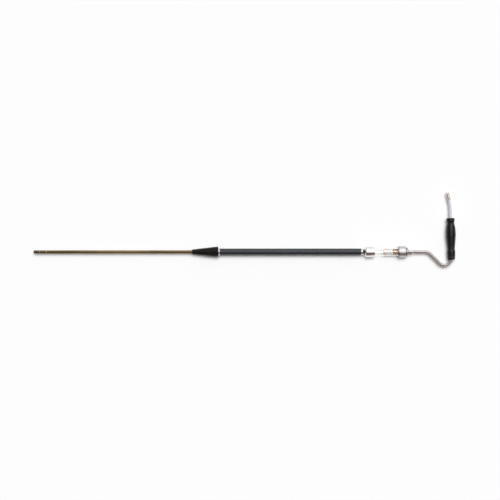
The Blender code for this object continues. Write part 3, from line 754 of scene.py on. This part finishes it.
# ---- clear chamber and its filter -------------------------------------------------------------
def make_chamber():
    """The clear tube, with the screwed ends that go into the nuts."""
    x0, x1, radius = span("sight_tube")
    bore = 0.00775
    nut_x1 = span("front_union_nut")[1]
    nut_x0 = span("rear_union_nut")[0]
    pitch, depth = 0.0015, 0.00035

    def thread(first, last):
        turns = int((last - first) / pitch)
        for turn in range(turns):
            at = first + turn * pitch
            yield (at, radius, 0.0002)
            yield (at + pitch / 2, radius - depth, 0.0002)
        yield (last, radius)

    sight = turned("sight_glass", rounded([
        *thread(x0 + 0.0006, nut_x1 - 0.0020), (nut_x1 - 0.0010, radius - 0.0001),
        (nut_x0 + 0.0010, radius - 0.0001), *thread(nut_x0 + 0.0020, x1 - 0.0006),
        (x1, radius - depth), (x1, bore, 0.0002), (x0, bore, 0.0002), (x0, radius - depth),
    ]))
    stand_for(sight, "sight_tube")


def make_cartridge():
    """The retaining ring, the felt discs, and the ported cage over its gauze."""
    x0, x1, radius = span("retaining_ring")
    bore = 0.0045
    ring = turned("filter_ring", rounded([
        (x0, radius, 0.0006), (x0 + 0.0020, radius, 0.0002),
        (x0 + 0.0026, radius - 0.0005, 0.0002), (x0 + 0.0032, radius, 0.0002),
        (x1, radius, 0.0005), (x1, bore, 0.0004), (x0, bore, 0.0010),
    ]))
    slot_depth, slot_width, first_slot = 0.0016, 0.0018, 0.3
    slot = Matrix.Diagonal((2 * slot_depth, slot_width, radius, 1))
    for turn in (first_slot, first_slot + pi):
        place = Matrix.Rotation(turn, 4, "X") @ Matrix.Translation((x0, 0, (radius + bore) / 2))
        shape = bmesh.new()
        bmesh.ops.create_cube(shape, size=1.0, matrix=place @ slot)
        cut_away(ring, mesh_object("cutter", shape))
    stand_for(ring, "retaining_ring")

    x0, x1, radius = span("felt_filter")
    discs, bore, between = 5, 0.0020, radius - 0.0010
    step = (x1 - x0) / discs
    outline = []
    for disc in range(discs):
        left = x0 + disc * step
        outline += [(left + 0.00012, between), (left + 0.0002, radius, 0.0008),
                    (left + step - 0.0002, radius, 0.0008), (left + step - 0.00012, between)]
    felt = turned("felt_discs", rounded([
        (x0, between), *outline, (x1, between), (x1, bore), (x0, bore),
    ]))
    stand_for(felt, "felt_filter")

    x0, x1, radius = span("filter_cage")
    wall, outlet = 0.0012, 0.0025
    inner, waist, cup_x = radius - wall, radius - 0.0003, x0 + 0.0160
    cage = turned("ported_cage", rounded([
        (x0, radius, 0.0004), (x0 + 0.0016, radius, 0.0001), (x0 + 0.0018, waist, 0.0001),
        (cup_x + 0.0010, waist, 0.0001), (cup_x + 0.0012, radius, 0.0001), (x1, radius, 0.0004),
        (x1, outlet), (cup_x, outlet), (cup_x, inner), (x0, inner, 0.0003),
    ]))
    ports, port_x, port_r, first_port = 4, 0.8695, 0.0033, -radians(24)
    hole = [(inner * 0.6, port_r), (radius - 0.0009, port_r), (radius + 0.0004, port_r + 0.0013)]
    for number in range(ports):
        place = Matrix.Translation((port_x, 0, 0)) @ \
            Matrix.Rotation(first_port + number * 2 * pi / ports, 4, "X")
        cut_away(cage, spike(hole, place, HOLE_ROUND))
    stand_for(cage, "filter_cage")

    x0, x1, radius = span("gauze_element")
    bore = 0.0030
    gauze = turned("gauze", rounded([
        (x0, radius, 0.0003), (x1, radius, 0.0003), (x1, bore), (x0, bore),
    ]))
    stand_for(gauze, "gauze_element")
    keep_cad("rear_seal")


# ---- rear union -------------------------------------------------------------------------------
TUBE_R = span("crank_tube")[2]
TUBE_FIT = TUBE_R + GAP         # a bore that fits over the crank tube or the tail tube


def make_rear_union():
    """The finely ribbed rear nut, the spigot in it, and the hexagonal gland nut."""
    x0, x1, flange_r = span("rear_union_nut")
    body_r, taper, groove_r, end_r, shank = 0.0138, 0.0004, 0.0096, 0.0106, 0.0055
    ribs, rib_depth, rib_run = 96, 0.00007, 0.0006
    sides_to_a_rib = 8
    flange_x, lip_x = x0 + 0.0022, span("rear_spigot")[0] + 0.0029
    rib_x0, rib_x1 = flange_x + 0.0010, GROOVE_X0 - 0.0016

    def ribbed(along, radius, angle):
        if not (rib_x0 <= along <= rib_x1 and radius > body_r - taper - 0.0008):
            return radius
        ease = min(1.0, (along - rib_x0) / rib_run, (rib_x1 - along) / rib_run)
        return radius - rib_depth * ease * (0.5 - 0.5 * cos(ribs * angle))

    def body(along):
        return along, body_r - taper * (along - flange_x) / (GROOVE_X0 - flange_x)

    nut = turned("rear_nut", rounded([
        (x0, flange_r, 0.0004), (flange_x, flange_r, 0.0003), (flange_x, body_r, 0.0002),
        body(rib_x0), body(rib_x0 + rib_run / 2), body(rib_x0 + rib_run), body(rib_x1 - rib_run),
        body(rib_x1 - rib_run / 2), body(rib_x1), (*body(GROOVE_X0), 0.0007),
        (GROOVE_X0, groove_r, 0.0003), (GROOVE_X1, groove_r, 0.0003), (GROOVE_X1, end_r, 0.0004),
        (x1, end_r, 0.0009), (x1, shank, 0.0003), (lip_x, shank), (lip_x, UNION_BORE),
        (x0, UNION_BORE, 0.0005),
    ]), ribs * sides_to_a_rib, relief=ribbed)
    stand_for(nut, "rear_union_nut", "rear_nut")

    x0, x1, radius = span("rear_spigot")
    flange_x, shank, bore = x0 + 0.0026, 0.0052, 0.0025
    spigot = turned("spigot", rounded([
        (x0, radius, 0.0002), (flange_x, radius, 0.0002), (flange_x, shank), (x1, shank, 0.0003),
        (x1, TUBE_FIT), (SOCKET_X, TUBE_FIT), (SOCKET_X, bore), (x0, bore),
    ]), SMALL_ROUND)
    stand_for(spigot, "rear_spigot")

    low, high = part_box("gland_nut")
    x0, x1 = low.x, high.x
    flat = (high.y - low.y) / 2
    corner = flat / cos(pi / 6)
    seat_x, seat_r = x0 + 0.0047, 0.0047

    def hexagon(along, radius, angle):
        if radius < flat - 0.0008:
            return radius
        off = (angle % (pi / 3)) - pi / 6
        return min(radius, flat / cos(off))

    gland = turned("gland", rounded([
        (x0, flat - 0.0002), (x0 + 0.0010, corner, 0.0002), (x1 - 0.0030, corner, 0.0002),
        (x1 - 0.0020, flat - 0.0004, 0.0004), (x1, flat - 0.0006, 0.0006),
        (x1, TUBE_FIT, 0.0003), (seat_x, TUBE_FIT), (seat_x, seat_r), (x0, seat_r),
    ]), HEX_ROUND, relief=hexagon)
    stand_for(gland, "gland_nut")
    keep_cad("gland_olive")


# ---- crank tube and tail tube -----------------------------------------------------------------
def go_straight(path, heading, length):
    """Adds a straight length to a path in the XY plane."""
    path.append(path[-1] + Vector((cos(heading), sin(heading), 0)) * length)
    return heading


def go_round(path, heading, turn, radius):
    """Adds an arc that begins tangent to heading: a positive turn is anticlockwise."""
    side = 1 if turn > 0 else -1
    start = path[-1]
    centre = start + Vector((-sin(heading), cos(heading), 0)) * radius * side
    steps = max(8, round(abs(turn) / BEND_STEP))
    for step in range(1, steps + 1):
        path.append(centre + Matrix.Rotation(turn * step / steps, 3, "Z") @ (start - centre))
    return heading + turn


def bent_crank():
    """The crank's route from the rear union to where it has turned into the grip's axis."""
    path = [Vector((span("crank_tube")[0], 0, 0))]
    heading = go_straight(path, 0.0, BEND_X - path[0].x)
    heading = go_round(path, heading, -FIRST_BEND, BEND_R)
    heading = go_straight(path, heading, DIAGONAL)
    go_round(path, heading, GRIP_HEADING - heading, BEND_R)
    return path


CRANK_BENDS = bent_crank()


def on_grip_axis(y):
    """The point of the grip's axis at a given Y."""
    start = CRANK_BENDS[-1]
    return start + Vector((cos(GRIP_HEADING), sin(GRIP_HEADING), 0)) * (
        (y - start.y) / sin(GRIP_HEADING))


def tail_route():
    """The tail tube's route from inside the grip to the hose nozzle's shoulder."""
    path = [on_grip_axis(JOIN_Y + COUPLER_STOP + GAP), on_grip_axis(TAIL_BEND_Y)]
    turn = TAIL_HEADING - GRIP_HEADING
    heading = go_round(path, GRIP_HEADING, turn, TAIL_BEND_LENGTH / turn)
    go_straight(path, heading, TAIL_STRAIGHT)
    return path


TAIL_PATH = tail_route()


def make_tubes():
    """The crank tube and the tail tube, whose ends meet in the coupler inside the grip."""
    bore = TUBE_R - TUBE_WALL
    crank_path = [*CRANK_BENDS, on_grip_axis(JOIN_Y - COUPLER_STOP - GAP)]
    stand_for(swept("crank", crank_path, TUBE_R, bore), "crank_tube")
    stand_for(swept("tail", TAIL_PATH, TUBE_R, bore), "tail_tube")
    keep_cad("tube_coupler")


# ---- grip and nozzle --------------------------------------------------------------------------
GRIP_OUTLINE = (        # distance from the upper end, radius
    (0.0000, 0.0088), (0.0012, 0.0099), (0.0065, 0.0100), (0.0090, 0.0092), (0.0118, 0.00865),
    (0.0150, 0.0092), (0.0190, 0.0105), (0.0240, 0.0113), (0.0290, 0.0118), (0.0360, 0.0120),
    (0.0430, 0.0119), (0.0530, 0.0110), (0.0620, 0.0100), (0.0700, 0.00930), (0.0740, 0.00905),
    (0.0780, 0.0096), (0.0820, 0.0101), (0.0870, 0.0098), (0.0940, 0.0094),
)


def make_grip():
    """The moulded grip, its end ring and the grub screw under it."""
    down = GRIP_HEADING + pi
    top = on_grip_axis(GRIP_TOP_Y)
    body_end = GRIP_OUTLINE[-1][0]
    inside_r = 0.0080
    room_r, room = span("tube_coupler")[2] + GAP, 0.0120 + GAP      # for the tube coupler
    middle = (GRIP_TOP_Y - JOIN_Y) / sin(GRIP_HEADING)
    recess, recess_r = 0.0008, 0.0074
    skin = smooth_line(GRIP_OUTLINE, 6)
    outline = [*skin, (body_end, TUBE_FIT), (middle + room, TUBE_FIT), (middle + room, room_r),
               (middle - room, room_r), (middle - room, TUBE_FIT), (0, TUBE_FIT + 0.0006),
               (0, TUBE_FIT + 0.0022), (recess, TUBE_FIT + 0.0026), (recess, recess_r),
               (0, recess_r + 0.0004)]

    def parting(along, radius, angle):
        return radius if radius < inside_r else radius - parting_ridge(angle, 0.00010, 0.03)

    grip = turned("hand_grip", outline, FINE_ROUND, top, down, parting)
    screw_along, screw_hole_r = 0.0860, 0.0018
    screw_place = top + Vector((cos(down), sin(down), 0)) * screw_along
    under = Matrix.Rotation(pi, 4, "X")
    cut_away(grip, spike([(0.0036, screw_hole_r), (0.0096, screw_hole_r), (0.0125, 0.0030)],
                         Matrix.Translation(screw_place) @ under))
    stand_for(grip, "grip")

    start, fit = body_end + GAP, 0.0046
    ring = turned("grip_ferrule", rounded([
        (start, 0.0091, 0.0003), (start + 0.0003, 0.0094, 0.0003),
        (start + 0.0030, 0.0092, 0.0004), (start + 0.0036, 0.0088, 0.0003),
        (GRIP_LENGTH, 0.0083, 0.0012), (GRIP_LENGTH, fit, 0.0006), (start, fit),
    ]), ROUND, top, down)
    stand_for(ring, "grip_end_ring")

    low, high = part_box("grip_screw")
    radius, length, socket = (high.x - low.x) / 2, high.z - low.z, 0.0007
    place = Matrix.Translation(screw_place + Vector((0, 0, high.z))) @ under
    screw = spike([(0, radius * 0.5), (0.0008, radius), (length - 0.0002, radius),
                   (length, radius - 0.0002)], place, HOLE_ROUND)
    key = spike([(length - 0.0018, socket), (length + 0.0010, socket)], place, 6)
    screw.name = "grub_screw"
    cut_away(screw, key)
    stand_for(screw, "grip_screw")


def make_nozzle():
    """The hose nozzle: a shank in the tail tube, a shoulder, two soft barbs and an open bore."""
    shank, radius, barb_r, shoulder_r, bore = 0.0021, 0.0040, 0.0043, 0.0047, 0.0013
    shank_end, shoulder, length = -0.0070, 0.0025, 0.0187
    barb = (length - shoulder) / 3
    nozzle = turned("nozzle", rounded([
        (shank_end, shank, 0.0003), (GAP, shank), (GAP, shoulder_r, 0.0005),
        (shoulder, shoulder_r, 0.0005), (shoulder + 0.0001, radius - 0.0002, 0.0003),
        (shoulder + barb, radius - 0.0001, 0.0003), (shoulder + barb, barb_r, 0.0003),
        (shoulder + 2 * barb, radius - 0.0003, 0.0003), (shoulder + 2 * barb, barb_r, 0.0003),
        (length, radius - 0.0004, 0.0006), (length, bore, 0.0004), (shank_end, bore),
    ]), SMALL_ROUND, TAIL_PATH[-1], TAIL_HEADING)
    stand_for(nozzle, "hose_nozzle", "warm_nickel")


# ---- stage, light and camera ------------------------------------------------------------------
def make_stage():
    """A plain white floor just under the probe."""
    low, high = cad_bounds
    middle = (low + high) / 2
    shape = bmesh.new()
    size, clearance = 12.0, 0.0002
    bmesh.ops.create_grid(shape, x_segments=1, y_segments=1, size=size / 2)
    floor = mesh_object("floor", shape)
    floor.location = (middle.x, middle.y, low.z - clearance)
    made, _, _ = finish_material("floor_white", (0.90, 0.90, 0.90), 0.9, Specular_IOR_Level=0.0)
    floor.data.materials.append(made)


def make_lamp():
    """A wide soft lamp high above, leaning to the back and a little to the right."""
    lamp = bpy.data.lights.new("key", "SUN")
    lamp.energy = 2.93
    lamp.angle = radians(34)
    lamp.color = (0.968, 1.0, 1.025)
    key = bpy.data.objects.new("key", lamp)
    bpy.context.scene.collection.objects.link(key)
    key.rotation_euler = Vector((0.06, 0.26, 1.0)).to_track_quat("Z", "Y").to_euler()
    key.visible_glossy = False


def studio_brightness(tree):
    """How bright the studio is in each direction, from 0 to 1: a panel with a bright core high at
    the back, and walls that are brightest at the back and along the horizon."""
    coords = node(tree, "ShaderNodeTexCoord")
    parts = node(tree, "ShaderNodeSeparateXYZ")
    tree.links.new(coords.outputs["Generated"], parts.inputs["Vector"])
    x, y, z = (parts.outputs[axis] for axis in "XYZ")
    panel_x, panel_y, half_width, half_depth = 0.22, 0.42, 0.50, 0.71
    aside = maths(tree, "DIVIDE", maths(tree, "SUBTRACT", x, panel_x), half_width)
    behind = maths(tree, "DIVIDE", maths(tree, "SUBTRACT", y, panel_y), half_depth)
    away = maths(tree, "SQRT", maths(tree, "ADD", maths(tree, "MULTIPLY", aside, aside),
                                     maths(tree, "MULTIPLY", behind, behind)))
    panel = remap(tree, away, 0.80, 1.15, 0.5, 0.0)
    core = remap(tree, away, 0.35, 0.75, 1.0, 0.0)
    horizon = remap(tree, maths(tree, "ABSOLUTE", z), 0.0, 0.25, 0.40, 0.0)
    back = remap(tree, y, 0.1, 0.8, 0.3, 1.0)
    front = remap(tree, y, -0.9, -0.4, 0.7, 0.3)
    walls = maths(tree, "MULTIPLY", horizon, maths(tree, "MAXIMUM", back, front))
    return maths(tree, "MAXIMUM", maths(tree, "MAXIMUM", panel, core), walls)


def make_studio():
    """The studio round the probe. Reflections show its lit panel and dark front at full strength,
    other surfaces are lit by a dimmer, warmer share of it, and the camera sees plain white."""
    world = bpy.data.worlds.new("studio")
    world.use_nodes = True
    bpy.context.scene.world = world
    tree = world.node_tree
    colour = ramp(tree, studio_brightness(tree), (0.0, (0.080, 0.058, 0.050)),
                  (0.5, (0.500, 0.505, 0.515)), (1.0, (1.0, 1.0, 1.0)))
    room = tree.nodes["Background"]
    room.inputs["Strength"].default_value = 2.4
    tree.links.new(colour, room.inputs["Color"])
    dim = node(tree, "ShaderNodeBackground")
    dim.inputs["Strength"].default_value = 0.88
    tree.links.new(mixed(tree, 1.0, colour, (1.0, 0.90, 0.82), "MULTIPLY"), dim.inputs["Color"])
    plain = node(tree, "ShaderNodeBackground")
    plain.inputs["Color"].default_value = (0.97, 0.97, 0.97, 1.0)
    seen = by_ray(tree, dim.outputs[0], ("Is Glossy Ray", room.outputs[0]),
                  ("Is Camera Ray", plain.outputs[0]))
    tree.links.new(seen, tree.nodes["World Output"].inputs["Surface"])


def make_camera():
    """Straight above the probe, with a long lens: the view is 1.2 m wide at the probe's axis."""
    view_width, lens, sensor = 1.2, 120.0, 36.0
    view_x, view_y = 0.519, 0.0044
    camera = bpy.data.cameras.new("camera")
    camera.lens = lens
    camera.sensor_width = sensor
    camera.clip_end = 50.0
    holder = bpy.data.objects.new("camera", camera)
    bpy.context.scene.collection.objects.link(holder)
    holder.location = (view_x, view_y, view_width * lens / sensor)
    bpy.context.scene.camera = holder
    bpy.context.scene.view_settings.view_transform = "Standard"


make_lance()
make_cone()
make_sleeve()
make_front_union()
make_chamber()
make_cartridge()
make_rear_union()
make_tubes()
make_grip()
make_nozzle()
make_stage()
make_lamp()
make_studio()
make_camera()
